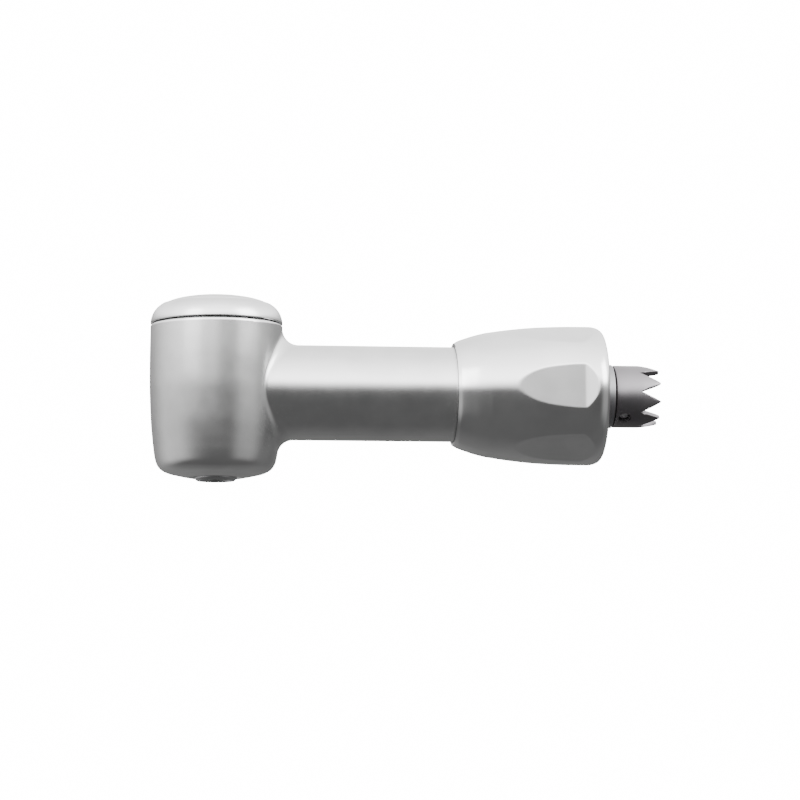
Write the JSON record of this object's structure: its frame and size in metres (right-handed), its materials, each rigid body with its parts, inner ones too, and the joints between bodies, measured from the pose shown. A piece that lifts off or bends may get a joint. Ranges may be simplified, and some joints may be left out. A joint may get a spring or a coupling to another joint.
{
  "type": "contra angle handpiece head",
  "caption": "Right-angle drive head: straight neck, hexagon-flatted coupling ring nut, toothed crown gear, bevel-driven hollow spindle and push-button latch cap.",
  "frame": {"origin": "on the drive axis at the rear plane of the ring nut, where the shank's end face meets it", "axes": "+X along the drive axis toward the crown gear, +Z along the bur axis toward the push button, -Y toward the side pictured"},
  "size_m": [0.0384, 0.0104, 0.0138],
  "materials": {
    "satin_steel": "satin, fine bead-blasted grain",
    "nut_nickel": "smooth satin nickel",
    "button_steel": "satin turned",
    "crown_steel": "machined, darker",
    "gear_steel": "machined and hardened",
    "bearing_steel": "ground and polished",
    "cage_steel": "ground balls in a pressed cage",
    "bronze": "sintered bearing bronze",
    "seal_rubber": "matt black",
    "spring_steel": "drawn wire and strip"
  },
  "bodies": {
    "head": {"head_housing": "satin_steel", "head_cap": "satin_steel", "cap_seal": "seal_rubber", "wave_washer": "spring_steel", "upper_outer_race": "bearing_steel", "lower_outer_race": "bearing_steel", "front_outer_race": "bearing_steel", "rear_outer_race": "bearing_steel", "outer_spacer_sleeve": "gear_steel", "coupling_bush": "satin_steel", "rear_bushing": "bronze", "index_pin": "gear_steel", "nose_seal": "seal_rubber", "button_spring": "spring_steel"},
    "ring_nut": {"ring_nut": "nut_nickel"},
    "spindle": {"spindle_tube": "gear_steel", "driven_gear": "gear_steel", "upper_inner_race": "bearing_steel", "lower_inner_race": "bearing_steel", "chuck_head": "gear_steel", "bur_drive_key": "gear_steel", "chuck_clip": "spring_steel"},
    "jaw_a": {"latch_jaw_a": "gear_steel"},
    "jaw_b": {"latch_jaw_b": "gear_steel"},
    "drive": {"drive_shaft": "gear_steel", "drive_pinion": "gear_steel", "front_inner_race": "bearing_steel", "rear_inner_race": "bearing_steel", "inner_spacer_sleeve": "gear_steel", "shaft_collar": "gear_steel", "crown_gear": "crown_steel", "crown_pin": "bearing_steel"},
    "upper_balls": {"upper_bearing_balls": "cage_steel"},
    "lower_balls": {"lower_bearing_balls": "cage_steel"},
    "front_balls": {"front_bearing_balls": "cage_steel"},
    "rear_balls": {"rear_bearing_balls": "cage_steel"},
    "button": {"push_button": "button_steel", "release_cone": "gear_steel"}
  },
  "joints": [
    {"name": "drive_spin", "type": "hinge", "parent": "head", "child": "drive", "pos_m": [-0.029, 0, 0], "axis": [1, 0, 0], "continuous": true},
    {"name": "spindle_spin", "type": "hinge", "parent": "head", "child": "spindle", "pos_m": [-0.029, 0, 0], "axis": [0, 0, 1], "continuous": true},
    {"name": "upper_balls_spin", "type": "hinge", "parent": "head", "child": "upper_balls", "pos_m": [-0.029, 0, 0], "axis": [0, 0, 1], "continuous": true},
    {"name": "lower_balls_spin", "type": "hinge", "parent": "head", "child": "lower_balls", "pos_m": [-0.029, 0, 0], "axis": [0, 0, 1], "continuous": true},
    {"name": "front_balls_spin", "type": "hinge", "parent": "head", "child": "front_balls", "pos_m": [-0.029, 0, 0], "axis": [1, 0, 0], "continuous": true},
    {"name": "rear_balls_spin", "type": "hinge", "parent": "head", "child": "rear_balls", "pos_m": [-0.029, 0, 0], "axis": [1, 0, 0], "continuous": true},
    {"name": "ring_nut_spin", "type": "hinge", "parent": "head", "child": "ring_nut", "pos_m": [-0.029, 0, 0], "axis": [1, 0, 0], "continuous": true},
    {"name": "button_press", "type": "slide", "parent": "head", "child": "button", "axis": [0, 0, -1], "range_m": [0, 0.0005], "stiffness_N_per_m": 1500, "springref_m": -0.001, "deforming": ["button_spring"]},
    {"name": "jaw_a_open", "type": "slide", "parent": "spindle", "child": "jaw_a", "axis": [1, 0, 0], "range_m": [0, 0.0003]},
    {"name": "jaw_b_open", "type": "slide", "parent": "spindle", "child": "jaw_b", "axis": [-1, 0, 0], "range_m": [0, 0.0003]}
  ],
  "couplings": [
    {"joint": "spindle_spin", "follows": "drive_spin", "ratio": -1},
    {"joint": "upper_balls_spin", "follows": "drive_spin", "ratio": -0.4048},
    {"joint": "lower_balls_spin", "follows": "drive_spin", "ratio": -0.4048},
    {"joint": "front_balls_spin", "follows": "drive_spin", "ratio": 0.4059},
    {"joint": "rear_balls_spin", "follows": "drive_spin", "ratio": 0.4059},
    {"joint": "jaw_a_open", "follows": "button_press", "ratio": 0.6},
    {"joint": "jaw_b_open", "follows": "button_press", "ratio": 0.6}
  ]
}
